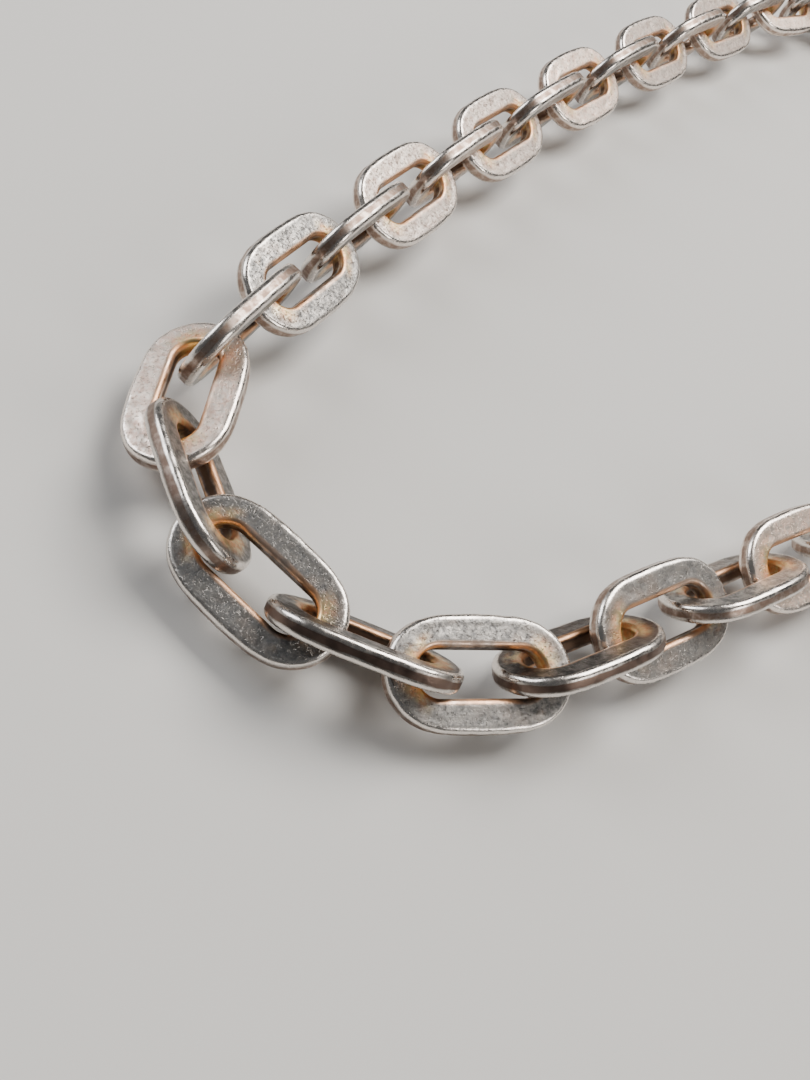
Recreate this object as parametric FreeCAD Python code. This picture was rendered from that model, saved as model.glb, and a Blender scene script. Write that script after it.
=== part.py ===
import FreeCAD, Part
import math
import os

V = FreeCAD.Vector

# ---- Link: a flattened wire bent into a long oval, all links alike (mm) ----
LINK_LEN = 15.0        # outer length
LINK_WID = 8.8         # outer width
SIDE_W = 2.6           # wire width along the straight sides, in the plane of the oval
WIRE_W = 2.4           # wire width round the bows
WIRE_T = 1.6           # wire thickness, across the plane
OUTER_R = 0.45         # rounding of the outer edges
INNER_R = 0.4          # rounding of the window edges
GAP = 0.85             # play between two hooked wires that cross squarely
TWIST_GAP = 0.01       # and the extra play for each degree they are off square

# ---- Chain: links are counted from the middle one of the bend, which is number 0 ----
NEAR_LINKS = 21        # links between the middle one and the clasp
FAR_LINKS = 23         # links between the middle one and the end ring
MID_HEADING = 171.0    # direction of the middle link, degrees from +X
# Roll of the flat and of the steep links about their long axes, degrees
BEND_LEAN = (-20.0, 44.0)
NEAR_LEAN = (-26.0, 44.0)
FAR_LEAN = (28.0, 104.0)
NEAR_BENT, FAR_BENT = 3, 2      # links of each arm that are rolled as the bend is
NEAR_BEND = (26.0, 24.0, 20.0, 2.0)         # turns of the joints next to the middle link
FAR_BEND = (28.0, 30.0, 22.0, 2.0)
SLIDE = 0.027          # sideways slide along the neighbour's bow for each degree of turn
SAG = 0.3              # a flat link hangs this much lower than the steep ones
STRAIGHT_END = 16      # joint at which each arm starts its outer curve
NEAR_DRIFT, NEAR_CURVE = 0.4, 5.0           # turn per joint before and in the curve
FAR_DRIFT, FAR_CURVE = 1.2, 8.0
SETTLE = 0.3           # how fully each link levels out against its neighbour

# ---- Lobster clasp, lying in its own XY plane, eye at the origin ----
EYE_R, EYE_HOLE_R = 4.2, 2.1
EYE_T = 2.4
CLASP_T = 4.0
TAIL_X, TAIL_R = 6.2, 4.4
HEAD_X, HEAD_R = 15.2, 6.3
WINDOW_R, WINDOW_X0 = 3.4, 12.4
CLASP_ROUND = 1.0
PIVOT = (6.4, 2.3)
CHEEK_R = 2.2
GATE_R = 10.8          # reach of the gate from its pin
GATE_ANGLE = 6.0       # lower edge of the closed gate
GATE_SWING = 34.0      # the gate opens this far, inwards
GATE_T = 3.4
TONGUE_R, TONGUE_T = 1.75, 1.4
PIN_R = 0.6
CLEAR = 0.2
TAB_X, TAB_R = 11.4, 1.3

# ---- End ring with a small eye, ring centre at +X of the eye ----
RING_R, RING_BORE_R = 5.9, 3.5
RING_X = 8.0
RING_T = 2.4
RING_ROUND, BORE_ROUND = 0.8, 0.2


def rounded(shape, radius, wanted):
    """Fillet every edge for which wanted(edge) is true."""
    return shape.makeFillet(radius, [e for e in shape.Edges if wanted(e)])


def oval(length, width, thick):
    """Plate with two half-round ends, centred on the origin."""
    r, c = width / 2, (length - width) / 2
    a, b = V(-c, -r, 0), V(c, -r, 0)
    d, e = V(c, r, 0), V(-c, r, 0)
    edges = [Part.LineSegment(a, b).toShape(), Part.Arc(b, V(c + r, 0, 0), d).toShape(),
             Part.LineSegment(d, e).toShape(), Part.Arc(e, V(-c - r, 0, 0), a).toShape()]
    plate = Part.Face(Part.Wire(edges)).extrude(V(0, 0, thick))
    plate.translate(V(0, 0, -thick / 2))
    return plate


def disc(x, y, radius, thick):
    return Part.makeCylinder(radius, thick, V(x, y, -thick / 2))


def flat_edge(e, thick):
    """True for an edge lying in the top or the bottom face of a plate."""
    box = e.BoundBox
    return box.ZLength < 1e-4 and abs(abs(box.ZMin) - thick / 2) < 1e-4


def link():
    outer = oval(LINK_LEN, LINK_WID, WIRE_T)
    outer = rounded(outer, OUTER_R, lambda e: flat_edge(e, WIRE_T))
    window = oval(LINK_LEN - 2 * WIRE_W, LINK_WID - 2 * SIDE_W, WIRE_T + 1)
    body = outer.cut(window)
    reach = (LINK_LEN - 2 * WIRE_W) / 2 + 0.01
    return rounded(body, INNER_R, lambda e: flat_edge(e, WIRE_T)
                   and max(abs(e.BoundBox.XMin), abs(e.BoundBox.XMax)) < reach
                   and max(abs(e.BoundBox.YMin), abs(e.BoundBox.YMax)) < LINK_WID / 2 - SIDE_W + 0.01)


def teardrop(thick):
    """Outline of the clasp: two circles joined by their common tangents."""
    span = HEAD_X - TAIL_X
    slope = math.asin((HEAD_R - TAIL_R) / span)
    sn, cs = math.sin(slope), math.cos(slope)
    tail = [V(TAIL_X - TAIL_R * sn, side * TAIL_R * cs, 0) for side in (1, -1)]
    head = [V(HEAD_X - HEAD_R * sn, side * HEAD_R * cs, 0) for side in (1, -1)]
    edges = [Part.LineSegment(tail[0], head[0]).toShape(),
             Part.Arc(head[0], V(HEAD_X + HEAD_R, 0, 0), head[1]).toShape(),
             Part.LineSegment(head[1], tail[1]).toShape(),
             Part.Arc(tail[1], V(TAIL_X - TAIL_R, 0, 0), tail[0]).toShape()]
    plate = Part.Face(Part.Wire(edges)).extrude(V(0, 0, thick))
    plate.translate(V(0, 0, -thick / 2))
    return plate


def wedge(low, high, thick):
    """Sector around the clasp's pin, between two angles, well past the clasp."""
    px, py = PIVOT
    far = 30.0
    pts = [V(px, py, -thick / 2)]
    steps = 4
    for k in range(steps + 1):
        a = math.radians(low + (high - low) * k / steps)
        pts.append(V(px + far * math.cos(a), py + far * math.sin(a), -thick / 2))
    return Part.Face(Part.makePolygon(pts + pts[:1])).extrude(V(0, 0, thick))


def clasp_blank():
    """The whole claw, rounded, with its window, before the gate is parted off."""
    blank = rounded(teardrop(CLASP_T), CLASP_ROUND, lambda e: flat_edge(e, CLASP_T))
    window = oval(HEAD_X - WINDOW_X0 + 2 * WINDOW_R, 2 * WINDOW_R, CLASP_T + 1)
    window.translate(V((HEAD_X + WINDOW_X0) / 2, 0, 0))
    body = blank.cut(window)
    inside = WINDOW_R + 0.01
    return rounded(body, 0.6, lambda e: flat_edge(e, CLASP_T)
                   and e.BoundBox.YMax < inside and e.BoundBox.YMin > -inside
                   and e.BoundBox.XMin > WINDOW_X0 - inside
                   and e.BoundBox.XMax < HEAD_X + inside)


def clasp_body():
    px, py = PIVOT
    eye = rounded(disc(0, 0, EYE_R, EYE_T), 0.7, lambda e: flat_edge(e, EYE_T))
    neck = Part.makeBox(TAIL_X, 5.0, EYE_T, V(0, -2.5, -EYE_T / 2))
    hole = disc(0, 0, EYE_HOLE_R, EYE_T)
    eye = eye.fuse(neck).cut(hole)
    eye = rounded(eye, 0.5, lambda e: flat_edge(e, EYE_T)
                  and e.BoundBox.XMin > -EYE_HOLE_R - 0.01 and e.BoundBox.XMax < EYE_HOLE_R + 0.01
                  and e.BoundBox.YLength > EYE_HOLE_R)
    low = GATE_ANGLE - GATE_SWING - 2.0
    room = disc(px, py, GATE_R + CLEAR, CLASP_T + 2)
    room = room.cut(disc(px, py, CHEEK_R, CLASP_T + 2)).common(wedge(low, 100.0, CLASP_T + 2))
    slot_t = TONGUE_T + 0.3
    slot = disc(px, py, TONGUE_R + CLEAR, slot_t)
    slot = slot.fuse(disc(px, py, 4.0, slot_t).common(wedge(low, 100.0, slot_t)))
    body = clasp_blank().fuse(eye).cut(room).cut(slot)
    return body.cut(disc(px, py, PIN_R, CLASP_T + 1)).removeSplitter()


def clasp_lever():
    px, py = PIVOT
    arm = disc(px, py, GATE_R, GATE_T).cut(disc(px, py, CHEEK_R + CLEAR, GATE_T))
    arm = arm.common(wedge(GATE_ANGLE, 95.0, GATE_T)).common(clasp_blank())
    edge_y = TAIL_R + (TAB_X - TAIL_X) * (HEAD_R - TAIL_R) / (HEAD_X - TAIL_X)
    tab = rounded(disc(TAB_X, edge_y + 0.3, TAB_R, GATE_T - 0.6), 0.4,
                  lambda e: flat_edge(e, GATE_T - 0.6))
    tab = tab.common(wedge(GATE_ANGLE + 12.0, 95.0, GATE_T))
    tongue = disc(px, py, TONGUE_R, TONGUE_T)
    web = disc(px, py, 4.0, TONGUE_T).common(wedge(GATE_ANGLE, 60.0, TONGUE_T))
    web = web.common(clasp_blank())
    lever = arm.fuse(tab).fuse(tongue).fuse(web)
    return lever.cut(disc(px, py, PIN_R + 0.05, CLASP_T)).removeSplitter()


def clasp_pin():
    return disc(PIVOT[0], PIVOT[1], PIN_R, CLASP_T)


def end_ring():
    ring = rounded(disc(RING_X, 0, RING_R, RING_T), RING_ROUND, lambda e: flat_edge(e, RING_T))
    eye = rounded(disc(0, 0, EYE_R, RING_T), 0.7, lambda e: flat_edge(e, RING_T))
    body = ring.fuse(eye).cut(disc(RING_X, 0, RING_BORE_R, RING_T))
    body = body.cut(disc(0, 0, EYE_HOLE_R, RING_T))
    body = rounded(body, BORE_ROUND, lambda e: flat_edge(e, RING_T)
                   and abs(e.BoundBox.YLength - 2 * RING_BORE_R) < 0.01)
    return rounded(body, 0.5, lambda e: flat_edge(e, RING_T)
                   and abs(e.BoundBox.YLength - 2 * EYE_HOLE_R) < 0.01)


# ---- How the chain lies on the table ----

def lean(i):
    """Roll of link i about its long axis, 0 lying flat, 90 standing on edge. The
    slack links lie over towards the table, so neighbours do not cross squarely;
    towards both ends they come square again."""
    if abs(i) <= (FAR_BENT if i > 0 else NEAR_BENT):
        return math.radians(BEND_LEAN[i % 2])
    flat, steep = NEAR_LEAN if i < 0 else FAR_LEAN
    to_end = (NEAR_LINKS + i) if i < 0 else (FAR_LINKS - i)
    share = min(1.0, to_end / 9.0)
    return math.radians(flat * share if i % 2 == 0 else 90.0 + (steep - 90.0) * share)


def off_square(i, j):
    """How far two neighbours are from crossing at a right angle, in degrees."""
    return abs(abs(math.degrees(lean(i) - lean(j))) - 90.0)


def support(angle):
    """Height of a link's centre above the table when it leans by this angle."""
    return ((LINK_WID / 2 - OUTER_R) * abs(math.sin(angle))
            + (WIRE_T / 2 - OUTER_R) * abs(math.cos(angle)) + OUTER_R)


def height(i):
    """A steep link stands on the table, a flat one hangs between its neighbours."""
    if i % 2:
        return support(lean(i))
    return (support(lean(i - 1)) + support(lean(i + 1))) / 2 - SAG


def axes(heading, pitch, roll):
    """Long axis, width axis and normal of a flat piece."""
    ch, sh = math.cos(heading), math.sin(heading)
    cp, sp = math.cos(pitch), math.sin(pitch)
    side, up = V(-sh, ch, 0), V(-ch * sp, -sh * sp, cp)
    t = V(ch * cp, sh * cp, sp)
    s = side * math.cos(roll) + up * math.sin(roll)
    return t, s, t.cross(s)


def slope(i, way):
    """Pitch that takes link i from the height of one neighbour to the other's."""
    last = FAR_LINKS if way > 0 else NEAR_LINKS
    ahead = height(i + way) if abs(i) < last else height(i)
    return math.atan2(ahead - height(i - way), 2 * (LINK_LEN - 2 * WIRE_W - GAP))


def hooked(parent, way, heading, roll, half, play, slide, z, tilt):
    """Place a piece on its parent's end bow. way is +1 or -1 along the parent's
    long axis; half is the distance from the piece's centre to its own hooked wire;
    slide is how far it lies off the middle of the bow, along the parent's width;
    z and tilt are the height and the pitch it should have.
    Returns centre, axes, and the point and axis it swings about."""
    centre, t, s, n = parent
    bow = centre + t * (way * (LINK_LEN - WIRE_W) / 2)
    miss = 0.0
    for _ in range(2):
        pitch = way * (tilt + SETTLE * miss / half)
        ct, cs, cn = axes(heading, pitch, roll)
        out = ct * way
        pull = out - s * out.dot(s)
        pull.normalize()
        own = bow - pull * (WIRE_W + play) + out * half + s * slide
        miss = z - own.z
    return (own, ct, cs, cn), bow, s


def joints(way):
    """Turn, play and slide at each joint of one arm, outwards from the middle link. A
    link lying flat slides round the bow as it turns; one standing on edge does not."""
    bend, drift, curve, count, start = (
        (FAR_BEND, FAR_DRIFT, FAR_CURVE, FAR_LINKS, STRAIGHT_END) if way > 0 else
        (NEAR_BEND, -NEAR_DRIFT, -NEAR_CURVE, NEAR_LINKS, 7))
    for k in range(1, count + 1):
        turn = bend[k - 1] if k <= len(bend) else drift if k < start else curve
        play = GAP + TWIST_GAP * off_square(way * k, way * (k - 1))
        yield turn, play, SLIDE * turn * math.cos(lean(way * k))


def layout():
    """Every piece's pose and hinge: {name: (pose, parent, pivot, axis)}."""
    first = NEAR_LINKS + 1
    name = lambda i: "link_%02d" % (first + i)
    root = (V(0, 0, height(0)),) + axes(math.radians(MID_HEADING), 0.0, lean(0))
    poses = {name(0): (root, None, None, None)}
    half = (LINK_LEN - WIRE_W) / 2
    for way, count in ((-1, NEAR_LINKS), (1, FAR_LINKS)):
        heading, pose = MID_HEADING, root
        for k, (turn, play, slide) in enumerate(joints(way), 1):
            heading -= way * turn
            i = way * k
            pose, pivot, axis = hooked(pose, way, math.radians(heading), lean(i),
                                       half, play, slide, height(i), slope(i, way))
            poses[name(i)] = (pose, name(i - way), pivot, axis)
        last = name(way * count)
        wire = EYE_R - EYE_HOLE_R
        centre_to_wire = (EYE_R + EYE_HOLE_R) / 2
        tip = HEAD_X + HEAD_R - CLASP_ROUND if way < 0 else RING_X + RING_R - RING_ROUND
        thick = CLASP_T if way < 0 else RING_T
        out = heading + (180.0 if way < 0 else 0.0)
        drop = math.asin((pose[0].z - thick / 2) / tip)
        piece, pivot, axis = hooked_end(pose, way, math.radians(out), -drop,
                                        centre_to_wire, wire)
        poses["clasp_body" if way < 0 else "end_ring"] = (piece, last, pivot, axis)
    body = poses["clasp_body"][0]
    pin = body[0] + body[1] * PIVOT[0] + body[2] * PIVOT[1]
    poses["clasp_pin"] = (body, None, None, None)
    poses["clasp_lever"] = (body, "clasp_body", pin, body[3] * -1.0)
    return poses


def hooked_end(parent, way, heading, pitch, half, wire):
    """Place a flat end piece, its eye at its own origin, on the last link's bow."""
    centre, t, s, n = parent
    bow = centre + t * (way * (LINK_LEN - WIRE_W) / 2)
    ct, cs, cn = axes(heading, pitch, 0.0)
    pull = ct - s * ct.dot(s)
    pull.normalize()
    own = bow - pull * ((WIRE_W + wire) / 2 + GAP) + ct * half
    return (own, ct, cs, cn), bow, s


def placed(shape, pose):
    centre, t, s, n = pose
    copy = shape.copy()
    copy.Placement = FreeCAD.Placement(centre, FreeCAD.Rotation(t, s, n, "XYZ"))
    return copy


def assembly():
    """All pieces, moved so the table is z = 0 and the origin is under the middle."""
    one_link = link()
    makers = {"clasp_body": clasp_body(), "clasp_lever": clasp_lever(),
              "clasp_pin": clasp_pin(), "end_ring": end_ring()}
    poses = layout()
    parts = {name: placed(makers.get(name, one_link), item[0]) for name, item in poses.items()}
    box = FreeCAD.BoundBox()
    for shape in parts.values():
        box.add(shape.optimalBoundingBox(False, False))
    shift = V(-box.Center.x, -box.Center.y, -box.ZMin)
    for shape in parts.values():
        shape.translate(shift)
    return parts, poses, shift


parts, poses, shift = assembly()
os.makedirs("parts", exist_ok=True)
for name, shape in sorted(parts.items()):
    shape.exportStep("parts/" + name + ".step")
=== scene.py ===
import bpy
import math
import numpy as np
from mathutils import Matrix, Vector, noise


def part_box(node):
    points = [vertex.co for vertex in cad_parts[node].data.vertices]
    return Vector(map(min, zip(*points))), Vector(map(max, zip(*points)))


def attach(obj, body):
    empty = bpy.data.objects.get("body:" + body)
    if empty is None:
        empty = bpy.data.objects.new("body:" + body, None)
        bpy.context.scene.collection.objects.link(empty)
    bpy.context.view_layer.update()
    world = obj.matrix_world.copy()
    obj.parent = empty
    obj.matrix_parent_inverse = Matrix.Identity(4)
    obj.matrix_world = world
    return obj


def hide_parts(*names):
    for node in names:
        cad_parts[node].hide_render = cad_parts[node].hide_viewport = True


MM = 0.001

# ---- Link: sizes of the worn, hand-finished link that stands for each plain one (mm) ----
HALF_LEN, HALF_WID = 7.5, 4.4
SIDE_W, BOW_W, WIRE_T = 2.6, 2.4, 1.6
OUTER_R, INNER_R = 0.50, 0.45
ARCH, ARCH_REACH = 0.05, 4.0    # the long sides draw in by this share, this far from the middle
WAVE, WAVE_SCALE = 0.05, 0.35   # slow unevenness: depth, and waves per mm
DENT, DENT_SCALE = 0.077, 1.1   # dents: depth, and dents per mm
DENT_START = 0.12               # noise below this value leaves no dent
STRAIGHT_STEPS, BOW_STEPS, CORNER_STEPS, FACE_STEPS = 18, 40, 6, 8

# ---- Bands across the wire, from 0 at the window's wall to 1 at the outer wall ----
LIP_START, FACE_START, FACE_END, RIM_END = 0.12, 0.28, 0.72, 0.88

# ---- Tone of each variant of the link, dark .. pale: painted reflection, dark where a link mirrors dark surroundings, pale where it mirrors bright light ----
REFLECTION_TONES = (0.04, 0.24, 0.36, 0.46, 0.74, 1.0)
CLASP_TONE = 0.7
# Painted reflection: the variant, and so the tone, that each link round the bend takes
BEND_REFLECTION = {15: 3, 16: 5, 17: 2, 18: 3, 19: 0, 20: 3, 21: 0, 22: 2, 23: 1, 24: 5, 25: 2, 26: 3}
FLAT_REFLECTION, STEEP_REFLECTION = (4, 5, 4), (3, 2, 4)    # beyond the bend, in turn

# ---- Colours of the metal: low and high ends of its mottling ----
DARK = ((0.012, 0.010, 0.009), (0.075, 0.062, 0.055))
GREY = ((0.20, 0.198, 0.195), (0.50, 0.475, 0.445))
CREAM = ((0.72, 0.52, 0.43), (1.0, 0.86, 0.74))
WARM = ((0.12, 0.08, 0.06), (0.80, 0.62, 0.50))         # on a dark link, on a pale one
WALL = ((0.26, 0.18, 0.14), (0.52, 0.42, 0.36))
DARK_WALL = (0.15, 0.105, 0.085)
RIM = (0.86, 0.80, 0.74)
COPPER = (0.66, 0.38, 0.22)
WINDOW = (0.13, 0.085, 0.06)
STAIN = ((0.82, 0.42, 0.20), (0.84, 0.64, 0.30))        # orange to gold, in the bows
PIT = (0.06, 0.052, 0.048)
GLINT = (0.90, 0.84, 0.78)

# ---- Camera, from the middle link of the bend ----
CAM_OFFSET = (7.49, -47.38)     # camera's foot point, before turning by CAM_YAW (mm)
CAM_HEIGHT = 70.29
CAM_DOWN, CAM_ROLL, CAM_YAW = 49.07, -30.59, -6.13
LENS, SENSOR = 38.33, 36.0

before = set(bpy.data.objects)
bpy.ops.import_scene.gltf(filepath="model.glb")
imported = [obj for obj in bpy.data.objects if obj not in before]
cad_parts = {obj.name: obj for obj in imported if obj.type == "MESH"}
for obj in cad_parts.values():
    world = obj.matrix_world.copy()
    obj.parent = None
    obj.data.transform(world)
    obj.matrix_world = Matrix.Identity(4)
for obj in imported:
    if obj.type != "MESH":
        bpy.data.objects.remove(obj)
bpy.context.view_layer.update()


# ---------------------------------------------------------------- geometry
def oval_point(half_len, radius, share):
    """Point at a share of the way round an oval: side, bow, side, bow, a quarter each."""
    reach = half_len - radius
    leg, part = divmod(share * 4.0, 1.0)
    leg = int(leg) % 4
    if leg == 0:
        return np.array([-reach + 2 * reach * part, -radius])
    if leg == 1:
        angle = -math.pi / 2 + math.pi * part
        return np.array([reach + radius * math.cos(angle), radius * math.sin(angle)])
    if leg == 2:
        return np.array([reach - 2 * reach * part, radius])
    angle = math.pi / 2 + math.pi * part
    return np.array([-reach + radius * math.cos(angle), radius * math.sin(angle)])


def wire_section():
    """Closed outline of the flattened wire: (share of the width from the window side
    outwards, height in mm, band)."""
    width, top = (SIDE_W + BOW_W) / 2, WIRE_T / 2
    upper = []
    for k in range(CORNER_STEPS + 1):
        angle = math.pi - math.pi / 2 * k / CORNER_STEPS
        upper.append((INNER_R + INNER_R * math.cos(angle),
                      top - INNER_R + INNER_R * math.sin(angle),
                      LIP_START + (FACE_START - LIP_START) * k / CORNER_STEPS))
    for k in range(1, FACE_STEPS):
        part = k / FACE_STEPS
        upper.append((INNER_R + (width - INNER_R - OUTER_R) * part, top,
                      FACE_START + (FACE_END - FACE_START) * part))
    for k in range(CORNER_STEPS + 1):
        angle = math.pi / 2 - math.pi / 2 * k / CORNER_STEPS
        upper.append((width - OUTER_R + OUTER_R * math.cos(angle),
                      top - OUTER_R + OUTER_R * math.sin(angle),
                      FACE_END + (RIM_END - FACE_END) * k / CORNER_STEPS))
    lower = [(x, -z, band) for x, z, band in reversed(upper)]
    points = [(0.0, 0.0, 0.0)] + upper + [(width, 0.0, 1.0)] + lower
    return [(x / width, z, band) for x, z, band in points]


def worn(point, out, share, drift):
    """Push a point of the surface in by the slow unevenness and the dents."""
    slow = noise.noise(point * WAVE_SCALE + drift) * 0.5 + 0.5
    dent = max(0.0, noise.noise(point * DENT_SCALE + drift * 2.0) - DENT_START)
    near_window = min(1.0, share * 2.5 + 0.1)       # the window's wall stays nearly true
    return point - out * (WAVE * slow + DENT * dent) * near_window


def loop_faces(around, across):
    """Quads of a closed tube: around rings of across points each."""
    faces = []
    for i in range(around):
        j = (i + 1) % around
        for k in range(across):
            l = (k + 1) % across
            faces.append((i * across + k, j * across + k, j * across + l, i * across + l))
    return faces


def link_mesh(name, seed, tone):
    """One worn link in its own frame: X along it, Y across it, Z its normal."""
    section = wire_section()
    around = []
    for leg, steps in enumerate((STRAIGHT_STEPS, BOW_STEPS, STRAIGHT_STEPS, BOW_STEPS)):
        around += [(leg + k / steps) / 4 for k in range(steps)]
    drift = Vector((seed * 7.3, seed * 3.1, seed * 5.7))
    points, bands = [], []
    for u in around:
        inner = oval_point(HALF_LEN - BOW_W, HALF_WID - SIDE_W, u)
        outer = oval_point(HALF_LEN, HALF_WID, u)
        for share, z, band in section:
            x, y = inner + (outer - inner) * share
            arch = 1.0 - ARCH * share * min(1.0, abs(x) / ARCH_REACH) ** 2
            sideways = (outer - inner) * (share - 0.5) * 0.8
            out = Vector((sideways[0], sideways[1], z))
            out.normalize()
            points.append(worn(Vector((x, y * arch, z)), out, share, drift) * MM)
            bands.append(band)
    faces = loop_faces(len(around), len(section))
    mesh = bpy.data.meshes.new(name)
    mesh.from_pydata(points, [], faces)
    mesh.polygons.foreach_set("use_smooth", [True] * len(faces))
    for key, values in (("band", bands), ("tone", [tone] * len(points))):
        mesh.attributes.new(key, "FLOAT", "POINT").data.foreach_set("value", values)
    mesh.update()
    return mesh


def solid_frame(mesh):
    """Centre, long axis and width axis of a closed mesh, from its volume."""
    mesh.calc_loop_triangles()
    corners = np.array([p.co for p in mesh.vertices], float)
    tri = corners[np.array([t.vertices[:] for t in mesh.loop_triangles])]
    origin = corners.mean(0)
    a, b, c = (tri[:, k] - origin for k in range(3))
    volume = np.einsum("ij,ij->i", a, np.cross(b, c)) / 6
    centre = ((a + b + c) / 4 * volume[:, None]).sum(0) / volume.sum()
    total = np.zeros((3, 3))
    for p in (a, b, c, a + b + c):
        total += np.einsum("i,ij,ik->jk", volume / 20, p, p)
    spread = total / volume.sum() - np.outer(centre, centre)
    vectors = np.linalg.eigh(spread)[1]
    return centre + origin, vectors[:, 2], vectors[:, 1]


# ---------------------------------------------------------------- materials
def rgb(r, g, b):
    return (r, g, b, 1.0)


class Nodes:
    """Short hand for building a node tree."""

    def __init__(self, name):
        self.mat = bpy.data.materials.new(name)
        self.mat.use_nodes = True
        self.tree = self.mat.node_tree
        self.shader = self.tree.nodes["Principled BSDF"]

    def add(self, kind, inputs=(), **fields):
        node = self.tree.nodes.new("ShaderNode" + kind)
        for key, value in fields.items():
            setattr(node, key, value)
        for key, value in dict(inputs).items():
            self.put(node.inputs[key], value)
        return node

    def put(self, socket, value):
        if isinstance(value, bpy.types.NodeSocket):
            self.tree.links.new(value, socket)
        else:
            socket.default_value = value

    def math(self, operation, a, b=0.0):
        return self.add("Math", {0: a, 1: b}, operation=operation).outputs[0]

    def times(self, a, b):
        return self.math("MULTIPLY", a, b)

    def mix(self, share, a, b):
        node = self.add("Mix", data_type="RGBA")
        for key, value in ((0, share), (6, a), (7, b)):
            self.put(node.inputs[key], value)
        return node.outputs[2]

    def span(self, value, low, high, to_low=0.0, to_high=1.0):
        """Smooth ramp of value from low..high to to_low..to_high."""
        node = self.add("MapRange", {"Value": value, "From Min": low, "From Max": high,
                                     "To Min": to_low, "To Max": to_high},
                        interpolation_type="SMOOTHSTEP")
        return node.outputs["Result"]

    def blend(self, value, low, high, pair):
        """Ramp from the first to the second colour of a pair."""
        return self.mix(self.span(value, low, high), rgb(*pair[0]), rgb(*pair[1]))

    def noise(self, where, scale, detail, rough, stretch=(1, 1, 1)):
        moved = self.add("Mapping", {"Vector": where, "Scale": stretch}).outputs[0]
        return self.add("TexNoise", {"Vector": moved, "Scale": scale, "Detail": detail,
                                     "Roughness": rough}).outputs[0]


def face_colour(n, tone, mottle, cloud):
    """Mottled metal, from dark through grey to cream as the painted reflection tone rises, warm
    in patches.
    """
    dark = n.blend(mottle, 0.36, 0.66, DARK)
    grey = n.blend(mottle, 0.36, 0.66, GREY)
    cream = n.blend(mottle, 0.34, 0.64, CREAM)
    face = n.mix(n.span(tone, 0.0, 0.5), dark, grey)
    face = n.mix(n.span(tone, 0.5, 1.0), face, cream)
    warm = n.mix(tone, rgb(*WARM[0]), rgb(*WARM[1]))
    return n.mix(n.times(n.span(cloud, 0.48, 0.70), 0.5), face, warm)


def band_colours(n, face, rough, edge, where, tone, mottle, cloud):
    """Lay the bands of a link over its face colour: outer wall, polished rim carrying a painted
    highlight, copper lip, brown window wall, and the stain where the next link rubs in the bow."""
    outer_wall = n.blend(mottle, 0.4, 0.65, WALL)
    # The outer wall also darkens with the painted reflection tone.
    outer_wall = n.mix(n.span(tone, 0.0, 0.5), rgb(*DARK_WALL), outer_wall)
    rim = n.times(n.span(edge, 0.70, 0.76), n.span(edge, 0.90, 0.84))
    lip = n.times(n.span(edge, 0.31, 0.25), n.span(edge, 0.12, 0.19))
    lip = n.times(lip, n.span(cloud, 0.36, 0.58, 0.25, 0.95))
    window_wall = n.span(edge, 0.16, 0.06)
    along = n.math("ABSOLUTE", n.add("SeparateXYZ", {0: where}).outputs[0])
    seat = n.times(n.span(along, 3.6 * MM, 5.2 * MM), n.span(edge, 0.68, 0.30))
    seat = n.times(seat, n.span(cloud, 0.44, 0.58))
    colour = n.mix(n.span(edge, 0.82, 0.92), face, outer_wall)
    # Pale rim band: a painted highlight along the rounded edge; the band is also made smoother,
    # as polished
    colour = n.mix(n.times(rim, 0.8), colour, rgb(*RIM))
    colour = n.mix(lip, colour, rgb(*COPPER))
    colour = n.mix(window_wall, colour, rgb(*WINDOW))
    colour = n.mix(n.times(seat, 0.85), colour, n.blend(mottle, 0.40, 0.60, STAIN))
    rough = n.math("SUBTRACT", rough, n.times(rim, 0.14))
    return colour, n.math("ADD", rough, n.times(window_wall, 0.15))


def chain_metal(name, banded=True):
    """Worn white metal. A link's has the bands; the clasp's and the ring's doesn't."""
    n = Nodes(name)
    where = n.add("TexCoord").outputs["Object"]
    # tone: the painted reflection brightness of each link, dark .. pale
    tone = n.add("Attribute", attribute_name="tone").outputs["Fac"] if banded else CLASP_TONE
    cloud = n.noise(where, 260.0, 4.0, 0.6)
    mottle = n.noise(where, 1300.0, 5.0, 0.65)
    grain = n.noise(where, 4600.0, 3.0, 0.62)
    scratch = n.noise(where, 2300.0, 2.0, 0.5, (0.08, 1.0, 1.0))
    colour = face_colour(n, tone, mottle, cloud)
    rough = n.span(mottle, 0.3, 0.7, 0.48, 0.30)
    pits = n.span(grain, 0.55, 0.66)
    # Painted glints: bright specks on the flat face, stronger on the paler links
    glints = n.span(grain, 0.44, 0.33)
    if banded:
        band = n.add("Attribute", attribute_name="band").outputs["Fac"]
        edge = n.math("ADD", band, n.span(cloud, 0.2, 0.8, -0.035, 0.035))
        colour, rough = band_colours(n, colour, rough, edge, where, tone, mottle, cloud)
        flat = n.times(n.span(edge, 0.24, 0.34), n.span(edge, 0.78, 0.68))
        pits = n.times(pits, flat)
        glints = n.times(glints, flat)
    colour = n.mix(n.times(pits, 0.46), colour, rgb(*PIT))
    colour = n.mix(n.times(glints, n.times(tone, 0.8)), colour, rgb(*GLINT))
    n.put(n.shader.inputs["Base Color"], colour)
    n.put(n.shader.inputs["Roughness"], rough)
    n.shader.inputs["Metallic"].default_value = 1.0
    height = n.math("ADD", n.times(mottle, 0.5), n.times(scratch, 0.35))
    height = n.math("SUBTRACT", height, n.times(pits, 0.6))
    bump = n.add("Bump", {"Height": height, "Strength": 0.6, "Distance": 0.07 * MM})
    n.put(n.shader.inputs["Normal"], bump.outputs[0])
    return n.mat


def paper(name, colour):
    n = Nodes(name)
    n.shader.inputs["Base Color"].default_value = rgb(*colour)
    n.shader.inputs["Roughness"].default_value = 0.9
    return n.mat


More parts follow.
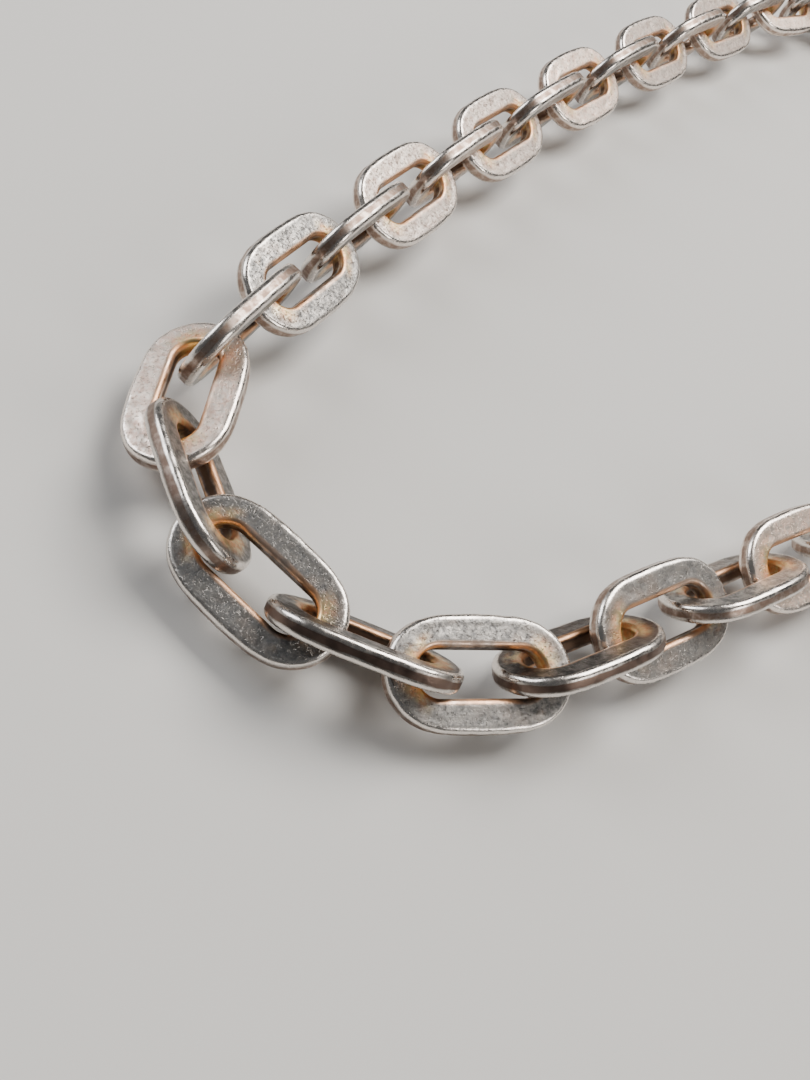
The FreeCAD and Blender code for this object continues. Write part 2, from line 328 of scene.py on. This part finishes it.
# ---------------------------------------------------------------- the necklace
def reflection_variant(number):
    """Which variant, and so which painted reflection tone, a link takes: each its own round the
    bend, then a repeating order.
    """
    if number in BEND_REFLECTION:
        return BEND_REFLECTION[number]
    order = STEEP_REFLECTION if number % 2 else FLAT_REFLECTION
    return order[number // 2 % len(order)]


def add_link(node, cad, variants):
    """Put the worn link where the plain one lies, and let it take its place."""
    number = int(node[5:])
    centre, along, across = solid_frame(cad.data)
    normal = np.cross(along, across)
    if number % 2:
        along, across = -along, -across
    place = Matrix(np.stack([along, across, normal], 1).tolist()).to_4x4()
    place.translation = centre
    piece = bpy.data.objects.new(node + "_worn", variants[reflection_variant(number)])
    bpy.context.scene.collection.objects.link(piece)
    piece.matrix_world = place
    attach(piece, node)
    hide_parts(node)


def finish_cad(cad, metal):
    """Give a carried-over part its metal, smooth but for its real edges."""
    cad.data.materials.clear()
    cad.data.materials.append(metal)
    cad.data.polygons.foreach_set("use_smooth", [True] * len(cad.data.polygons))
    cad.data.set_sharp_from_angle(angle=math.radians(35))


link_metal = chain_metal("chain_metal")
clasp_metal = chain_metal("clasp_metal", banded=False)
variants = [link_mesh("link_worn_%d" % k, 1.0 + k, tone) for k, tone in enumerate(REFLECTION_TONES)]
for mesh in variants:
    mesh.materials.append(link_metal)
for node, cad in sorted(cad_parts.items()):
    if node.startswith("link_"):
        add_link(node, cad, variants)
    else:
        finish_cad(cad, clasp_metal)

# ---------------------------------------------------------------- floor, light, camera
bpy.ops.mesh.primitive_plane_add(size=6.0, location=(0, 0, -0.2 * MM))
floor = bpy.context.object
floor.name = "floor"
floor.data.materials.append(paper("floor_paper", (0.66, 0.65, 0.63)))


def area_light(name, place, target, size, power, colour):
    data = bpy.data.lights.new(name, "AREA")
    data.shape, data.size, data.energy, data.color = "SQUARE", size, power, colour
    lamp = bpy.data.objects.new(name, data)
    bpy.context.scene.collection.objects.link(lamp)
    lamp.location = place
    lamp.rotation_mode = "QUATERNION"
    lamp.rotation_quaternion = (Vector(target) - Vector(place)).to_track_quat("-Z", "Y")


def studio_world(colour, strength):
    world = bpy.data.worlds.new("studio")
    world.use_nodes = True
    background = world.node_tree.nodes["Background"]
    background.inputs["Color"].default_value = rgb(*colour)
    background.inputs["Strength"].default_value = strength
    bpy.context.scene.world = world


def photo_camera():
    """Camera above the bend, looking along the far arm and turned about its own axis."""
    low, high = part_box("link_22")
    middle = (low + high) / 2
    down, roll, yaw = (math.radians(v) for v in (CAM_DOWN, CAM_ROLL, CAM_YAW))
    turn = Matrix.Rotation(-yaw, 3, "Z")
    offset = turn @ Vector((CAM_OFFSET[0] * MM, CAM_OFFSET[1] * MM, 0))
    right = Vector((1, 0, 0))
    below = Vector((0, -math.sin(down), -math.cos(down)))
    across = turn @ (right * math.cos(roll) + below * math.sin(roll))
    lower = turn @ (below * math.cos(roll) - right * math.sin(roll))
    ahead = turn @ Vector((0, math.cos(down), -math.sin(down)))
    data = bpy.data.cameras.new("camera")
    data.lens, data.sensor_width = LENS, SENSOR
    data.clip_start, data.clip_end = 0.005, 20.0
    camera = bpy.data.objects.new("camera", data)
    bpy.context.scene.collection.objects.link(camera)
    place = Matrix([[across[k], -lower[k], -ahead[k]] for k in range(3)]).to_4x4()
    place.translation = Vector((middle.x + offset.x, middle.y + offset.y, CAM_HEIGHT * MM))
    camera.matrix_world = place
    bpy.context.scene.camera = camera


area_light("key", (0.05, 0.34, 0.60), (-0.05, -0.02, 0), 0.45, 8.0, (1.0, 0.96, 0.91))
area_light("fill", (-0.6, -0.10, 0.35), (-0.06, -0.05, 0), 0.35, 2.4, (0.95, 0.97, 1.0))
area_light("side", (0.55, -0.15, 0.35), (-0.05, -0.05, 0), 0.25, 1.5, (1.0, 0.95, 0.9))
studio_world((0.80, 0.82, 0.85), 0.12)
photo_camera()
